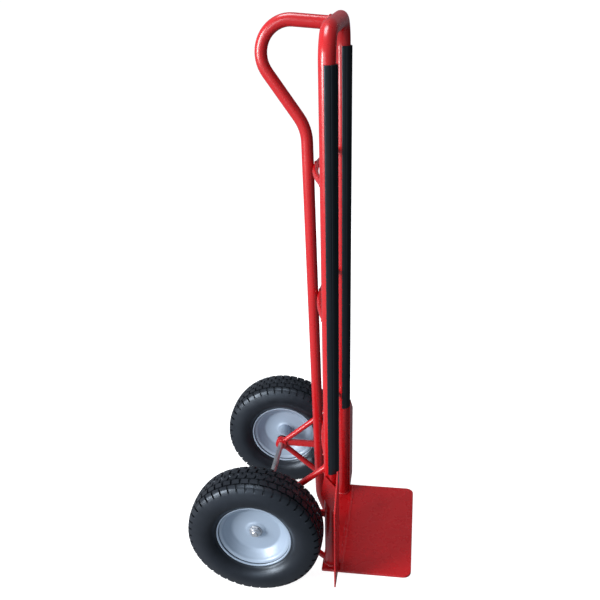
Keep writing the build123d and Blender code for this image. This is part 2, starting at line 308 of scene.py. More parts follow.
BAR_HEIGHT = 14 * MM


def axle_point(side, outboard, radius, angle):
    """Point about the axle, outboard of the truck's middle plane."""
    return Vector((side * outboard, AXLE_Y + radius * math.sin(angle), AXLE_Z + radius * math.cos(angle)))


def turned(side, start, profile, segments=64):
    """Closed profile of (outboard of start, radius) turned about the axle into a bmesh."""
    mesh = bmesh.new()
    rings = []
    for step in range(segments):
        angle = 2 * math.pi * step / segments
        rings.append([axle_point(side, start + along, radius, angle) for along, radius in profile])
    loft_rings(mesh, rings, closed_loft=True)
    return mesh


def rounded(points, radius, steps=3, closed=True):
    """Round the corners of a flat outline with short arcs (quadratic blends)."""
    out = []
    count = len(points)
    for i, here in enumerate(points):
        if not closed and i in (0, count - 1):
            out.append(tuple(here))
            continue
        here = Vector(here)
        before = Vector(points[i - 1])
        after = Vector(points[(i + 1) % count])
        reach = min(radius, (before - here).length * 0.45, (after - here).length * 0.45)
        start = here + (before - here).normalized() * reach
        end = here + (after - here).normalized() * reach
        for k in range(steps + 1):
            t = k / steps
            blend = start.lerp(here, t).lerp(here.lerp(end, t), t)
            out.append(tuple(blend))
    return out


# ------------------------------------------------------------------ tyres
TREAD_PITCHES = 46
GROOVE_SHARE = 0.17                 # lateral groove width as a share of the pitch
WALL_SHARE = 0.035                  # slope of a block's side wall, as a share of the pitch
TREAD_DEPTH = 4.6 * MM
CROWN_HALF = 31 * MM                # half width of the crown
CROWN_DROP = 4.0 * MM               # crown's edge below its middle
CROWN_POWER = 2.6                   # how late the crown falls away
TREAD_SWEEP = 0.16                  # how far the grooves sweep round, as a share of the pitch
SWEEP_REACH = 24 * MM


def tyre_profile():
    """Half profile, crown to bead: (across, radius, zone) where zone picks the tread row."""
    crown = WHEEL_RADIUS
    rows = []
    bands = [("centre", 0.0, 7.5), ("ring", 8.3, 10.2), ("inner", 11.0, 21.5), ("ring", 22.3, 24.0),
             ("shoulder", 24.8, 31.0)]
    for zone, start, stop in bands:
        for share in (0.0, 0.5, 1.0):
            across = (start + (stop - start) * share) * MM
            drop = CROWN_DROP * (across / CROWN_HALF) ** CROWN_POWER
            rows.append((across, crown - drop, zone))
    # the shoulder blocks wrap round onto the side wall
    for across, below, zone in ((33.4, 6.2, "shoulder"), (35.2, 9.0, "shoulder"), (36.0, 10.8, "edge"),
                                (37.0, 12.4, "side"), (38.4, 16.4, "side"), (39.9, 20.8, "side"),
                                (41.2, 26.0, "side"), (41.9, 31.0, "side"), (41.7, 36.0, "side"),
                                (40.3, 41.0, "side"), (37.6, 46.0, "side"), (33.8, 50.2, "side"),
                                (31.6, 51.6, "side"), (30.8, 52.6, "side"), (29.0, 53.4, "side"),
                                (26.6, 56.0, "side"), (25.4, 59.0, "side"), (22.0, 61.5, "side")):
        rows.append((across * MM, crown - below * MM, zone))
    return rows


def pitch_stops():
    """Where the mesh has lines within one pitch, so block edges stay crisp."""
    half = GROOVE_SHARE / 2
    stops = [0.0, half, half + WALL_SHARE, 0.5 - half - WALL_SHARE, 0.5 - half, 0.5, 0.5 + half,
             0.5 + half + WALL_SHARE, 1 - half - WALL_SHARE, 1 - half]
    filled = []
    for a, b in zip(stops, stops[1:] + [1.0]):
        filled.append(a)
        if b - a > 0.2:
            filled += [a + (b - a) * 0.33, a + (b - a) * 0.67]
    return filled


def in_groove(share, centre):
    """1 inside a lateral groove, 0 on the block."""
    away = abs((share - centre + 0.5) % 1 - 0.5)
    return 1.0 if away <= GROOVE_SHARE / 2 + 1e-6 else 0.0


def tread_depth(zone, share):
    """How deep the tread is cut at this spot, as a share of the full depth."""
    if zone == "ring":
        return 0.8
    if zone == "centre":
        return in_groove(share, 0.5) * 0.7
    if zone == "inner":
        return in_groove(share, 0.0)
    if zone == "shoulder":
        return in_groove(share, 0.5) * 0.8
    if zone == "edge":
        return in_groove(share, 0.5) * 0.3
    return 0.0


def make_tyre(side_name, side):
    """Block-tread tyre: staggered rows of blocks on the crown, smooth side walls."""
    half = tyre_profile()
    full = [(-a, r, z) for a, r, z in reversed(half[1:])] + half
    stops = pitch_stops()
    pitch = 2 * math.pi / TREAD_PITCHES
    mesh = bmesh.new()
    rings = []
    for tooth in range(TREAD_PITCHES):
        for share in stops:
            ring = []
            for index, (across, radius, zone) in enumerate(full):
                before = full[max(index - 1, 0)]
                after = full[min(index + 1, len(full) - 1)]
                slope = Vector((after[0] - before[0], after[1] - before[1])).normalized()
                normal = Vector((-slope.y, slope.x))
                if normal.y < 0 and abs(across) < CROWN_HALF - MM:
                    normal = -normal
                own_share = (share + (0.5 if across < 0 else 0.0)) % 1
                cut = tread_depth(zone, own_share) * TREAD_DEPTH
                lean = TREAD_SWEEP * math.sin(min(abs(across) / SWEEP_REACH, 1.6) * math.pi) * pitch
                place = Vector((across, radius)) - normal * cut
                ring.append(axle_point(side, WHEEL_X + place.x, place.y,
                                       (tooth + share) * pitch + lean))
            rings.append(ring)
    loft_rings(mesh, rings, closed_loft=True)
    finish_piece(f"block_tyre_{side_name}", mesh, RUBBER, f"{side_name}_wheel",
                 (f"tyre_{side_name}",), angle=28)


# ------------------------------------------------------------------ rims
LIP_ACROSS, LIP_RADIUS, LIP_BEAD = 24.0, 71.2, 2.4          # rolled lip, in millimetres
RIM_BEND = 2.0
RIM_SEGMENTS = 160


def rim_profile(facing):
    """Section of one pressed half, in millimetres: hub seat, disc, dish, bead seat and rolled lip."""
    inside = [(5.2, 14.0), (5.2, 16.2), (3.0, 20.0), (2.6, 25.0), (2.6, 46.8), (3.6, 49.4), (9.0, 55.0),
              (15.6, 60.6), (19.5, 63.0), (21.5, 66.0), (22.4, 69.6)]
    lip = [(LIP_ACROSS + LIP_BEAD * math.cos(a), LIP_RADIUS + LIP_BEAD * math.sin(a))
           for a in (math.radians(d) for d in range(-60, 230, 24))]
    outside = [(20.2, 70.5), (18.4, 66.3), (14.4, 63.8), (7.4, 57.6), (0.6, 51.0), (0.3, 46.5), (0.2, 30.0),
               (0.2, 14.0)]
    outline = rounded(inside, RIM_BEND, closed=False) + lip + rounded(outside, RIM_BEND, closed=False)
    return [(facing * x * MM, r * MM) for x, r in outline]


def make_rims(side_name, side):
    """Both pressed halves of one rim."""
    for half_name, facing in (("outer", 1), ("inner", -1)):
        mesh = turned(side, WHEEL_X, rim_profile(facing), RIM_SEGMENTS)
        finish_piece(f"pressed_rim_{half_name}_{side_name}", mesh, RIM, f"{side_name}_wheel",
                     (f"rim_{half_name}_{side_name}",), angle=40)


# ------------------------------------------------------------------ hardware on the axle
def ring_profile(length, bore, outer, soften):
    """Rectangle section of a plain ring with eased corners."""
    corners = [(0, bore), (length, bore), (length, outer), (0, outer)]
    return rounded(corners, soften)


def make_plain_rings(side_name, side):
    """Washer, spacer and axle eye with eased edges."""
    for kind, slot, material, soften in (("washer", "zinc_steel", ZINC, 0.5 * MM),
                                         ("spacer", "zinc_steel", ZINC, 0.5 * MM),
                                         ("axle_eye", "red_paint", RED, 1.2 * MM)):
        node = f"{kind}_{side_name}"
        low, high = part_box(node)
        near, far = sorted((abs(low.x), abs(high.x)))
        mesh = turned(side, near, ring_profile(far - near, AXLE_RADIUS, (high.z - low.z) / 2, soften))
        finish_piece(f"eased_{node}", mesh, material, "frame", (node,))


HEX_COLLAR = 2.2 * MM               # nylon collar above the flats
HEX_CHAMFER = 0.75 * MM
HEX_CORNER = 1.155                  # corner radius of a hexagon, as a share of half its flats
HEX_CORNER_CUT = 2.2                # how much faster a corner is cut than the face
NUT_SEGMENTS = 72
INSERT_RADIUS = 6.8 * MM
INSERT_DEPTH = 1.1 * MM             # inner side of the insert, in from the nut's outer face
INSERT_WIDTH = 0.7 * MM
INSERT_EDGE = 0.15 * MM


def make_lock_nut(side_name, side):
    """Hexagon nut with chamfered corners, a round collar and a nylon insert."""
    node = f"lock_nut_{side_name}"
    low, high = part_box(node)
    near, far = sorted((abs(low.x), abs(high.x)))
    half_flats = min(high.y - low.y, high.z - low.z) / 2
    flats_end = far - HEX_COLLAR
    steps = [(near, HEX_CHAMFER), (near + HEX_CHAMFER / 2, HEX_CHAMFER / 3), (near + HEX_CHAMFER, 0.0),
             (flats_end - HEX_CHAMFER, 0.0), (flats_end - HEX_CHAMFER / 2, HEX_CHAMFER / 3),
             (flats_end, HEX_CHAMFER)]
    angles = [2 * math.pi * k / NUT_SEGMENTS for k in range(NUT_SEGMENTS)]
    rings = [[axle_point(side, near, AXLE_RADIUS, angle) for angle in angles]]
    for place, cut in steps:
        limit = half_flats * HEX_CORNER - cut * HEX_CORNER_CUT
        rings.append([axle_point(side, place, min(hex_radius(half_flats, angle), limit), angle)
                      for angle in angles])
    # the collar turns in over the nylon insert and down to the thread
    for place, radius in ((flats_end, 8.3 * MM), (far - 0.7 * MM, 8.2 * MM), (far - 0.2 * MM, 7.9 * MM),
                          (far, 7.4 * MM), (far - 0.1 * MM, 6.9 * MM), (far - 0.8 * MM, INSERT_RADIUS),
                          (far - 1.2 * MM, AXLE_RADIUS)):
        rings.append([axle_point(side, place, radius, angle) for angle in angles])
    mesh = bmesh.new()
    loft_rings(mesh, rings, closed_loft=True)
    finish_piece(f"nyloc_{node}", mesh, ZINC, "frame", (node,), angle=30)
    insert = turned(side, far - INSERT_DEPTH,
                    ring_profile(INSERT_WIDTH, AXLE_RADIUS, INSERT_RADIUS, INSERT_EDGE))
    finish_piece(f"nylon_insert_{side_name}", insert, NYLON, "frame")


def hex_radius(half_flats, angle):
    """Radius of a hexagon at an angle."""
    within = (angle + math.pi / 6) % (math.pi / 3) - math.pi / 6
    return half_flats / math.cos(within)


THREAD_PITCH = 1.75 * MM
THREAD_DEPTH = 0.75 * MM
THREAD_LENGTH = 13 * MM
END_CHAMFER = 1.2 * MM


def thread_cut(along, angle):
    """How deep a helical thread cuts at this place, 0 on the crest."""
    phase = (along / THREAD_PITCH - angle / (2 * math.pi)) % 1
    return THREAD_DEPTH * max(0.0, 1 - abs(phase - 0.5) * 2.6)


def make_axle():
    """Ground rod with a rolled thread and a chamfer at each end."""
    segments = 48
    half = AXLE_HIGH.x
    fine = THREAD_PITCH / 8
    turns = int(THREAD_LENGTH / fine)
    stations = [-half + k * fine for k in range(turns)]
    stations += [-x for x in reversed(stations)]
    mesh = bmesh.new()
    rings = []
    for x in stations:
        from_end = half - abs(x)
        limit = AXLE_RADIUS - max(0.0, END_CHAMFER - from_end)
        ring = []
        for k in range(segments):
            angle = 2 * math.pi * k / segments
            fade = min(1.0, max(0.0, (THREAD_LENGTH - from_end) / (2 * MM)))
            radius = min(limit, AXLE_RADIUS - thread_cut(abs(x), angle) * fade)
            ring.append(Vector((x, AXLE_Y + radius * math.cos(angle), AXLE_Z + radius * math.sin(angle))))
        rings.append(ring)
    loft_rings(mesh, rings, caps=True)
    finish_piece("threaded_axle", mesh, ZINC, "frame", ("axle",), angle=40)


# ------------------------------------------------------------------ sheet metal and strips
def inset_outline(outline, inset):
    """Move every point of a counter-clockwise outline inwards."""
    moved = []
    count = len(outline)
    for i, here in enumerate(outline):
        here = Vector(here)
        back = (here - Vector(outline[i - 1])).normalized()
        ahead = (Vector(outline[(i + 1) % count]) - here).normalized()
        inward = Vector((-back.y - ahead.y, back.x + ahead.x))
        if inward.length < 1e-6:
            inward = Vector((-back.y, back.x))
        inward.normalize()
        slant = max(0.5, inward.dot(Vector((-back.y, back.x))))
        moved.append(here + inward * (inset / slant))
    return moved


def sheet(mesh, outline, place, thickness, soften):
    """Flat sheet with rounded edges; place maps (u, v, depth) to a point."""
    quarter = [(soften * (1 - math.cos(a)), soften * (1 - math.sin(a)))
               for a in (math.radians(d) for d in (0, 30, 60, 90))]
    steps = quarter + [(thickness - depth, inset) for depth, inset in reversed(quarter)]
    rings = [[place(u, v, depth) for u, v in inset_outline(outline, inset)] for depth, inset in steps]
    loft_rings(mesh, rings, caps=True)


PLATE_FRONT_RADIUS = 16 * MM
PLATE_REAR_RADIUS = 3 * MM
PLATE_THICKNESS = 5 * MM
CREASE_WIDTH = 9 * MM
CREASE_HEIGHT = 1.6 * MM
CREASE_GAP = 0.5 * MM               # between the guards and the crease
SHEET = 3 * MM                      # thickness of the guards and of the rub strips


def corner_arc(x, y, radius, start, steps=8):
    """Points of a quarter circle about (x, y), from start degrees on."""
    return [(x + radius * math.cos(math.radians(start + 90 * k / steps)),
             y + radius * math.sin(math.radians(start + 90 * k / steps))) for k in range(steps + 1)]


def make_nose_plate():
    """Nose plate with rolled edges, round front corners and the pressed crease before the guards."""
    low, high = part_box("nose_plate")
    front, rear = PLATE_FRONT_RADIUS, PLATE_REAR_RADIUS
    outline = corner_arc(low.x + front, low.y + front, front, 180)
    outline += corner_arc(high.x - front, low.y + front, front, 270)
    outline += corner_arc(high.x - rear, high.y - rear, rear, 0)
    outline += corner_arc(low.x + rear, high.y - rear, rear, 90)
    mesh = bmesh.new()
    sheet(mesh, outline, lambda u, v, depth: Vector((u, v, low.z + depth)), PLATE_THICKNESS, 1.1 * MM)
    crease_y = -(TUBE_RADIUS + SHEET + CREASE_GAP + CREASE_WIDTH / 2)
    # the crease rises from nothing within a few millimetres of the plate's edge
    run_in = [(low.x + (0.6 + x) * MM, math.sin(math.pi / 2 * (x + 0.8) / 6.8))
              for x in (0.0, 1.0, 3.0, 6.0)]
    stations = run_in + [(-x, rise) for x, rise in reversed(run_in)]
    sections = []
    for x, rise in stations:
        arc = [math.pi * k / 10 for k in range(11)]
        section = [Vector((x, crease_y + CREASE_WIDTH / 2 * math.cos(a),
                           PLATE_THICKNESS + CREASE_HEIGHT * rise * math.sin(a))) for a in arc]
        section += [section[-1] - Vector((0, 0, 1 * MM)), section[0] - Vector((0, 0, 1 * MM))]
        sections.append(section)
    loft_rings(mesh, sections, caps=True)
    finish_piece("nose_plate_folded", mesh, RED, "frame", ("nose_plate",), angle=34)


TAB_LOW = 140 * MM
TAB_HIGH = 205 * MM
TAB_RUN = 33 * MM
TAB_RISE = 34 * MM
TAB_TAIL = 12 * MM
TAB_PEAK = 0.8
GUARD_OUTER_HEIGHT = 195 * MM
GUARD_CORNER = 4 * MM
FOLD_RADIUS = 3 * MM                # inside of the fold


def tab_edges(back):
    """Lower and upper edge of the tab at a distance back from the guard's front face."""
    share = min(1.0, max(0.0, back / TAB_RUN))
    lower = TAB_LOW + (TAB_HIGH - TAB_TAIL - TAB_LOW) * (0.30 * share + 0.70 * share ** 1.7)
    if share <= TAB_PEAK:
        return lower, TAB_HIGH + TAB_RISE * share / TAB_PEAK
    fall = (share - TAB_PEAK) / (1 - TAB_PEAK)
    peak = TAB_HIGH + TAB_RISE
    return lower, peak + (TAB_HIGH - TAB_TAIL + 2 * MM - peak) * fall


def sheet_ring(middle, across, low, high, soften):
    """Upright section of a thin sheet, corners eased."""
    half = across * (SHEET / 2)
    inner = across * (SHEET / 2 - soften)
    corners = [(-inner, low), (inner, low), (half, low + soften), (half, high - soften),
               (inner, high), (-inner, high), (-half, high - soften), (-half, low + soften)]
    return [Vector((middle.x + off.x, middle.y + off.y, z)) for off, z in corners]


def make_guard(side_name, side):
    """Wheel guard: a wing in front of the tyre, folded into a tab along the upright."""
    node = f"wheel_guard_{side_name}"
    low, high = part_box(node)
    inner_x = UPRIGHT_X + TUBE_RADIUS
    outer_x = max(abs(low.x), abs(high.x))
    front_y = low.y
    fold_end = inner_x + SHEET + FOLD_RADIUS
    outer_z = GUARD_OUTER_HEIGHT
    strip_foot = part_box(f"rub_strip_{side_name}")[0].z
    wing = [(UPRIGHT_X, low.z), (outer_x - 1 * MM, low.z), (outer_x, low.z + 1 * MM)]
    wing += corner_arc(outer_x - GUARD_CORNER, outer_z - GUARD_CORNER, GUARD_CORNER, 0, 6)[:-1]
    wing += [(outer_x - 5 * MM, outer_z + 1.6 * MM), (inner_x, high.z), (inner_x, strip_foot - 1 * MM),
             (UPRIGHT_X, strip_foot - 1 * MM)]
    mesh = bmesh.new()
    sheet(mesh, wing, lambda u, v, depth: Vector((side * u, front_y + depth, v)), SHEET, 0.5 * MM)
    centre = Vector((fold_end, front_y + SHEET + FOLD_RADIUS))
    middle_radius = FOLD_RADIUS + SHEET / 2
    rings = []
    for degrees in range(90, -1, -15):
        angle = math.radians(degrees)
        out = Vector((-math.cos(angle), -math.sin(angle)))
        middle = centre + out * middle_radius
        edges = (TAB_LOW, TAB_HIGH) if degrees > 30 else tab_edges(middle.y - front_y)
        rings.append((middle, out, edges))
    steps = 14
    start_y = centre.y
    end_y = front_y + TAB_RUN
    for k in range(1, steps + 1):
        y = start_y + (end_y - start_y) * k / steps
        middle = Vector((inner_x + SHEET / 2, y))
        rings.append((middle, Vector((-1, 0)), tab_edges(y - front_y)))
    sections = []
    for middle, out, (bottom, top) in rings:
        ring = sheet_ring(middle, out, bottom, top, 0.45 * MM)
        sections.append([Vector((side * p.x, p.y, p.z)) for p in ring])
    loft_rings(mesh, sections, caps=True)
    finish_piece(f"folded_guard_{side_name}", mesh, RED, "frame", (node,), angle=32)


STRIP_INBOARD = 93                  # degrees of wrap either way from straight ahead
STRIP_OUTBOARD = 104
STRIP_GROOVES = (-64, -34, 34, 64)  # fine extrusion grooves along the strip, in degrees
GROOVE_DEPTH = 0.55 * MM
STRIP_BITE = 0.25 * MM              # the strip's inside lies this far within the tube's skin
LIP_THICKNESS = 0.4 * MM            # at the strip's two long edges


def make_strip(side_name, side):
    """Extruded rub strip: clipped round the upright, with fine grooves and rounded lips."""
    node = f"rub_strip_{side_name}"
    low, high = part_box(node)
    outer = []
    degrees = -STRIP_INBOARD
    while degrees <= STRIP_OUTBOARD:
        groove = sum(math.exp(-((degrees - g) / 2.2) ** 2) for g in STRIP_GROOVES)
        lip = min(degrees + STRIP_INBOARD, STRIP_OUTBOARD - degrees) / 9
        fall = 1 - math.sqrt(max(0.0, 1 - (1 - min(1.0, lip)) ** 2))
        radius = TUBE_RADIUS + SHEET - GROOVE_DEPTH * groove - (SHEET - LIP_THICKNESS) * fall
        outer.append((degrees, radius))
        degrees += 2
    inner = [(d, TUBE_RADIUS - STRIP_BITE) for d in range(STRIP_OUTBOARD, -STRIP_INBOARD - 1, -8)]
    mesh = bmesh.new()
    rings = []
    for z, shrink in ((low.z, 1.0), (low.z + 0.3 * MM, 0.45), (low.z + 1.0 * MM, 0.0),
                      (high.z - 1.0 * MM, 0.0), (high.z - 0.3 * MM, 0.45), (high.z, 1.0)):
        ring = []
        for degrees, radius in outer + inner:
            if radius > TUBE_RADIUS:
                radius = max(TUBE_RADIUS - STRIP_BITE, radius - shrink * MM)
            angle = math.radians(degrees)
            across = side * (UPRIGHT_X + radius * math.sin(angle))
            ring.append(Vector((across, -radius * math.cos(angle), z)))
        rings.append(ring)
    loft_rings(mesh, rings, caps=True)
    finish_piece(f"extruded_strip_{side_name}", mesh, STRIP, "frame", (node,), angle=40)


# ------------------------------------------------------------------ welds
BEAD_STEP = 0.9 * MM
RIPPLE_PITCH = 2.3 * MM
BEAD_SEGMENTS = 10


def even_path(points, closed):
    """Resample a path of points to even short steps."""
    points = [Vector(p) for p in points]
    if closed:
        points.append(points[0])
    lengths = [0.0]
    for a, b in zip(points, points[1:]):
        lengths.append(lengths[-1] + (b - a).length)
    total = lengths[-1]
    count = max(6, int(total / BEAD_STEP))
    out = []
    index = 0
    for k in range(count if closed else count + 1):
        target = total * k / count
        while index < len(points) - 2 and lengths[index + 1] < target:
            index += 1
        span = max(1e-9, lengths[index + 1] - lengths[index])
        out.append(points[index].lerp(points[index + 1], min(1.0, (target - lengths[index]) / span)))
    return out, total


def add_bead(mesh, points, radius, closed=True):
    """One rippled weld bead along a path."""
    path, total = even_path(points, closed)
    count = len(path)
    ripples = max(3, round(total / RIPPLE_PITCH))
    rings = []
    side = None
    for k, point in enumerate(path):
        after = path[(k + 1) % count] if closed or k < count - 1 else point
        before = path[k - 1] if closed or k > 0 else point
        ahead = (after - before).normalized()
        if side is None:
            side = ahead.orthogonal().normalized()
        side = (side - ahead * side.dot(ahead)).normalized()
        up = ahead.cross(side)
        phase = (k / count * ripples) % 1
        swell = 0.86 + 0.20 * math.sqrt(max(0.0, 1 - (2 * phase - 1) ** 2))
        swell = swell + 0.05 * math.sin(k * 1.7 + total * 90)
        if not closed:
            swell *= min(1.0, 0.35 + 0.65 * min(k, count - 1 - k) / 2.5)
        rings.append([point + (side * math.cos(a) + up * math.sin(a)) * radius * swell
                      for a in (2 * math.pi * j / BEAD_SEGMENTS for j in range(BEAD_SEGMENTS))])
    if closed:
        rings = even_seam(rings)
    loft_rings(mesh, rings, closed_loft=closed, caps=not closed)


def even_seam(rings):
    """Turn the last rings so that a closed bead joins up without a twist."""
    first, last = rings[0], rings[-1]
    size = len(first)
    best = min(range(size), key=lambda shift: sum((first[i] - last[(i + shift) % size]).length
                                                  for i in range(size)))
    turned_rings = []
    for k, ring in enumerate(rings):
        shift = round(best * k / (len(rings) - 1))
        turned_rings.append([ring[(i + shift) % size] for i in range(size)])
    return turned_rings


def saddle(start, along, radius, drum_point, drum_axis, drum_radius, count=40):
    """Closed line where a round bar coming from start meets a round drum."""
    along = along.normalized()
    side = along.orthogonal().normalized()
    up = along.cross(side)
    ring = []
    for k in range(count):
        angle = 2 * math.pi * k / count
        point = start + (side * math.cos(angle) + up * math.sin(angle)) * radius
        gap = point - drum_point
        gap = gap - drum_axis * gap.dot(drum_axis)
        flat = along - drum_axis * along.dot(drum_axis)
        half_b = gap.dot(flat) / flat.dot(flat)
        rest = (gap.dot(gap) - drum_radius ** 2) / flat.dot(flat)
        ring.append(point + along * (-half_b - math.sqrt(max(0.0, half_b ** 2 - rest))))
    return ring


UP = Vector((0, 0, 1))
ACROSS = Vector((1, 0, 0))


def bar_saddle(x, height, drum_point, drum_axis, drum_radius, toward):
    """Rounded line round the flat middle bar where it meets a drum in the plane x."""
    line = []
    half_thick, half_high = BAR_THICKNESS / 2, BAR_HEIGHT / 2
    for u, v in rounded([(-half_thick, -half_high), (half_thick, -half_high),
                         (half_thick, half_high), (-half_thick, half_high)], 1.5 * MM):
        off = u if drum_axis is UP else (height + v - drum_point.z)
        reach = math.sqrt(max(0.0, drum_radius ** 2 - off ** 2))
        line.append(Vector((x + u, drum_point.y + toward * reach, height + v)))
    return line


def make_side_welds(side_name, side):
    """Beads round one upright's foot, its struts and its axle eye, and along its guard."""
    mesh = bmesh.new()
    x = side * UPRIGHT_X
    post = Vector((x, 0, 0))
    eye = Vector((x, AXLE_Y, AXLE_Z))
    foot = [Vector((x + (TUBE_RADIUS + 0.4 * MM) * math.cos(a), (TUBE_RADIUS + 0.4 * MM) * math.sin(a),
                    PLATE_THICKNESS + 0.5 * MM)) for a in (math.radians(d) for d in range(0, 360, 8))]
    add_bead(mesh, foot, 2.4 * MM)
    eye_low, eye_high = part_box(f"axle_eye_{side_name}")
    eye_radius = (eye_high.z - eye_low.z) / 2
    for rise in (AXLE_Z - PLATE_THICKNESS, PLATE_THICKNESS - AXLE_Z):
        end = Vector((x, 0, AXLE_Z + rise))
        at_post = saddle(eye, end - eye, STRUT_RADIUS, post, UP, TUBE_RADIUS)
        for point in at_post:
            point.z = max(point.z, PLATE_THICKNESS + 0.3 * MM)
        add_bead(mesh, at_post, 1.9 * MM)
        add_bead(mesh, saddle(end, eye - end, STRUT_RADIUS, eye, ACROSS, eye_radius), 1.7 * MM)
    bar_low, bar_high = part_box(f"middle_strut_{side_name}")
    bar_z = (bar_low.z + bar_high.z) / 2
    add_bead(mesh, bar_saddle(x, bar_z, post, UP, TUBE_RADIUS, 1), 1.7 * MM)
    add_bead(mesh, bar_saddle(x, bar_z, eye, ACROSS, eye_radius, -1), 1.6 * MM)
    crevice_x = side * (UPRIGHT_X + TUBE_RADIUS - 0.9 * MM)
    for y, low_gap, high_gap in ((7.4 * MM, 5 * MM, 6 * MM), (-7.6 * MM, 7 * MM, 8 * MM)):
        bottom, top = tab_edges(y + TUBE_RADIUS + SHEET)
        run = [Vector((crevice_x, y, z)) for z in (bottom + low_gap, top - high_gap)]
        add_bead(mesh, run, 2.0 * MM, closed=False)
    plate_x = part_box("nose_plate")[1].x
    foot_line = [Vector((side * sx, -TUBE_RADIUS + 0.3 * MM, PLATE_THICKNESS + 0.3 * MM))
                 for sx in (UPRIGHT_X + TUBE_RADIUS + 1 * MM, plate_x - 1.5 * MM)]
    add_bead(mesh, foot_line, 2.0 * MM, closed=False)
    for bottom, top in ((12 * MM, 130 * MM), (212 * MM, 232 * MM)):
        seam = [Vector((side * (UPRIGHT_X + 4.5 * MM), 0.4 * MM - TUBE_RADIUS, z)) for z in (bottom, top)]
        add_bead(mesh, seam, 1.9 * MM, closed=False)
    finish_piece(f"welds_{side_name}", mesh, WELD, "frame", angle=60)


HANDLE_RISE = 14.5 / 169            # slope of the handle's top run
HEEL = Vector((0, 36 * MM, 88 * MM))
HANDLE_FOOT = Vector((0, 7 * MM, 0))


def make_middle_welds():
    """Beads where the cross bars meet the uprights and where the handle tube is held."""
    mesh = bmesh.new()
    arch = Vector((0, 0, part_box("frame_loop")[1].z - TUBE_RADIUS))
    top_run = Vector((0, 1, HANDLE_RISE)).normalized()
    at_arch = saddle(arch + top_run * (60 * MM), -top_run, HANDLE_RADIUS, arch, ACROSS, TUBE_RADIUS)
    add_bead(mesh, at_arch, 2.2 * MM)
    lean = (HEEL - HANDLE_FOOT).normalized()
    at_plate = HANDLE_FOOT + lean * (PLATE_THICKNESS / lean.z)
    plate_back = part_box("nose_plate")[1].y
    ring = []
    for k in range(40):
        angle = 2 * math.pi * k / 40
        y = at_plate.y + (HANDLE_RADIUS / lean.z + 0.3 * MM) * math.sin(angle)
        ring.append(Vector(((HANDLE_RADIUS + 0.3 * MM) * math.cos(angle), min(y, plate_back - 0.4 * MM),
                            PLATE_THICKNESS + 0.4 * MM)))
    add_bead(mesh, ring, 2.2 * MM)
    for level in ("upper", "middle", "lower"):
        low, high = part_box(f"cross_bar_{level}")
        radius = (high.z - low.z) / 2
        height = (high.z + low.z) / 2
        bow = high.y - radius - BAR_SEAT
        swing = 2 * math.atan2(bow, UPRIGHT_X)
        for side in SIDES.values():
            outward = Vector((side * math.cos(swing), -math.sin(swing), 0))
            post = Vector((side * UPRIGHT_X, 0, 0))
            seat = Vector((side * UPRIGHT_X, BAR_SEAT, height))
            start = seat - outward * (40 * MM)
            add_bead(mesh, saddle(start, outward, radius, post, UP, TUBE_RADIUS), 1.5 * MM)
        for lift in (-1, 1):
            y = high.y - radius * 0.55
            run = [Vector((sx * MM, y + 0.4 * MM * abs(sx) / 4, height + lift * radius * 0.95))
                   for sx in (-5, -2.5, 0, 2.5, 5)]
            add_bead(mesh, run, 1.8 * MM, closed=False)
    finish_piece("welds_middle", mesh, WELD, "frame", angle=60)


# ------------------------------------------------------------------ camera, light and floor
CAMERA_PLACE = (-1.211, -0.132, 1.098)
CAMERA_TURN = (0.151, 0.521, -0.025)          # yaw, downward pitch and roll, radians
CAMERA_FOCAL = 1.217                          # focal length as a share of the picture's width
CAMERA_SENSOR = 36
CAMERA_SHIFT = (-0.0167, 0.1135)


def make_camera():
    """View of the right side, from a little above the handle."""
    data = bpy.data.cameras.new("camera")
    camera = bpy.data.objects.new("camera", data)
    bpy.context.scene.collection.objects.link(camera)
    camera.location = CAMERA_PLACE
    yaw, pitch, roll = CAMERA_TURN
    ahead = Vector((math.cos(pitch) * math.cos(yaw), math.cos(pitch) * math.sin(yaw), -math.sin(pitch)))
    right = ahead.cross(UP).normalized()
    up = right.cross(ahead)
    rolled_right = right * math.cos(roll) + up * math.sin(roll)
    rolled_up = up * math.cos(roll) - right * math.sin(roll)
    camera.rotation_euler = Matrix((rolled_right, rolled_up, -ahead)).transposed().to_euler()
    data.sensor_width = CAMERA_SENSOR
    data.lens = CAMERA_FOCAL * CAMERA_SENSOR
    data.shift_x, data.shift_y = CAMERA_SHIFT
    data.clip_end = 50
    bpy.context.scene.camera = camera


def area_light(name, place, target, size, power, colour=(1, 1, 1)):
    """Rectangular lamp at a place, facing a target."""
    data = bpy.data.lights.new(name, "AREA")
    data.shape = "RECTANGLE"
    data.size, data.size_y = size
    data.energy = power
    data.color = colour
    lamp = bpy.data.objects.new(name, data)
    bpy.context.scene.collection.objects.link(lamp)
    lamp.location = place
    lamp.rotation_euler = (Vector(target) - Vector(place)).to_track_quat("-Z", "Y").to_euler()
    return lamp


FLOOR_HALF = 40.0
FLOOR_GAP = 0.6 * MM                  # the floor lies this far below the wheels
BACKDROP_RADIUS = 36.0
BACKDROP_RINGS = (-1, 4, 10, 20, 35, 50, 65, 80)      # degrees above the floor
BACKDROP_SEGMENTS = 48
FLOOR_GLOW = 0.88
BACKDROP_GLOW = 0.93
BRIGHT_SIDE = (-0.60, 0.78, 0.17)     # the surround is brightest in this direction
SURROUND_DIM = (0.012, 0.015, 0.020, 1)
SURROUND_BRIGHT = (0.62, 0.67, 0.74, 1)
KEY_POWER = 115
FILL_POWER = 14
TOP_POWER = 38
FAR_POWER = 26


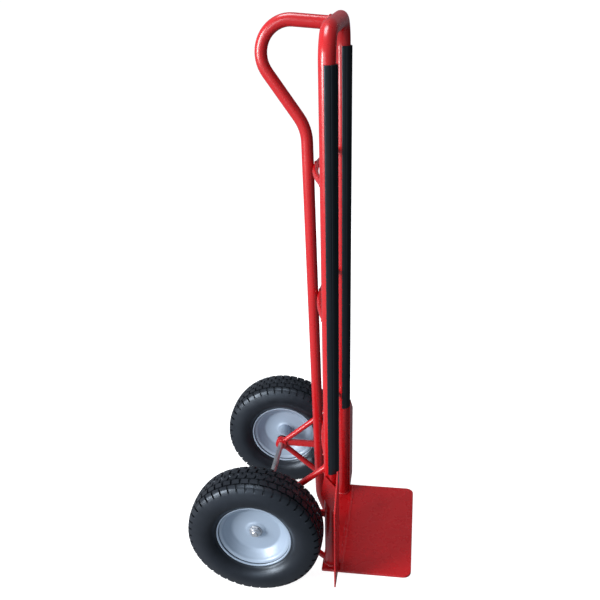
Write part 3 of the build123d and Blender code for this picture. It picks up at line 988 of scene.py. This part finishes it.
def make_floor():
    """Plain pale floor, seen by the camera but casting no colour on the object."""
    mesh = bmesh.new()
    bmesh.ops.create_grid(mesh, x_segments=1, y_segments=1, size=FLOOR_HALF)
    data = bpy.data.meshes.new("floor")
    mesh.to_mesh(data)
    mesh.free()
    floor = bpy.data.objects.new("floor", data)
    floor.location.z = -FLOOR_GAP
    bpy.context.scene.collection.objects.link(floor)
    r = Recipe("studio_floor")
    r.set(Base_Color=(0.45, 0.45, 0.45, 1), Roughness=0.9, Specular_IOR_Level=0.0)
    r.shader.inputs["Emission Color"].default_value = (1, 1, 1, 1)
    r.shader.inputs["Emission Strength"].default_value = FLOOR_GLOW
    data.materials.append(r.material)
    floor.visible_diffuse = False
    floor.visible_glossy = False


def make_backdrop():
    """Pale dome far behind the object, seen by the camera only."""
    mesh = bmesh.new()
    rings = []
    for degrees in BACKDROP_RINGS:
        rise = math.radians(degrees)
        rings.append([Vector((BACKDROP_RADIUS * math.cos(rise) * math.cos(a),
                              BACKDROP_RADIUS * math.cos(rise) * math.sin(a),
                              BACKDROP_RADIUS * math.sin(rise)))
                      for a in (2 * math.pi * k / BACKDROP_SEGMENTS for k in range(BACKDROP_SEGMENTS))])
    made = loft_rings(mesh, rings)
    mesh.faces.new(made[-1])
    data = bpy.data.meshes.new("backdrop")
    mesh.to_mesh(data)
    mesh.free()
    dome = bpy.data.objects.new("backdrop", data)
    bpy.context.scene.collection.objects.link(dome)
    r = Recipe("studio_backdrop")
    r.set(Base_Color=(0, 0, 0, 1), Roughness=1.0, Specular_IOR_Level=0.0)
    r.shader.inputs["Emission Color"].default_value = (0.93, 0.94, 0.96, 1)
    r.shader.inputs["Emission Strength"].default_value = BACKDROP_GLOW
    data.materials.append(r.material)
    for kind in ("diffuse", "glossy", "transmission", "shadow"):
        setattr(dome, f"visible_{kind}", False)


def make_world():
    """Soft surround, brightest behind the user's right shoulder and dim on the opposite side."""
    world = bpy.data.worlds.new("studio")
    world.use_nodes = True
    tree = world.node_tree
    background = tree.nodes["Background"]
    place = tree.nodes.new("ShaderNodeTexCoord")
    toward = tree.nodes.new("ShaderNodeVectorMath")
    toward.operation = "DOT_PRODUCT"
    toward.inputs[1].default_value = BRIGHT_SIDE
    ramp = tree.nodes.new("ShaderNodeValToRGB")
    half = tree.nodes.new("ShaderNodeMath")
    half.operation = "MULTIPLY_ADD"
    half.inputs[1].default_value = 0.5
    half.inputs[2].default_value = 0.5
    ramp.color_ramp.elements[0].color = SURROUND_DIM
    ramp.color_ramp.elements[1].color = SURROUND_BRIGHT
    tree.links.new(place.outputs["Generated"], toward.inputs[0])
    tree.links.new(toward.outputs["Value"], half.inputs[0])
    tree.links.new(half.outputs["Value"], ramp.inputs["Fac"])
    tree.links.new(ramp.outputs["Color"], background.inputs["Color"])
    bpy.context.scene.world = world


def make_studio():
    """Soft boxes: the key and a fill on the right wheel's side, a top light and a far-side fill."""
    make_floor()
    make_backdrop()
    make_world()
    area_light("key", (-1.7, 2.2, 1.15), (0, 0.05, 0.45), (1.0, 1.5), KEY_POWER)
    area_light("fill", (-2.6, 0.9, 1.3), (0, 0.05, 0.35), (0.5, 1.6), FILL_POWER, (0.84, 0.92, 1.0))
    area_light("top", (0.1, 0.6, 3.0), (0, 0, 0), (1.0, 1.0), TOP_POWER, (0.90, 0.95, 1.0))
    far_fill = area_light("far_fill", (2.3, -0.9, 1.3), (0, 0, 0.45), (1.2, 1.6), FAR_POWER)
    far_fill.visible_glossy = False     # no glare on the nose plate
    bpy.context.scene.view_settings.view_transform = "Standard"


paint_cad_nodes()
make_nose_plate()
make_axle()
make_middle_welds()
for side_name, side in SIDES.items():
    make_tyre(side_name, side)
    make_rims(side_name, side)
    make_plain_rings(side_name, side)
    make_lock_nut(side_name, side)
    make_guard(side_name, side)
    make_strip(side_name, side)
    make_side_welds(side_name, side)
make_camera()
make_studio()
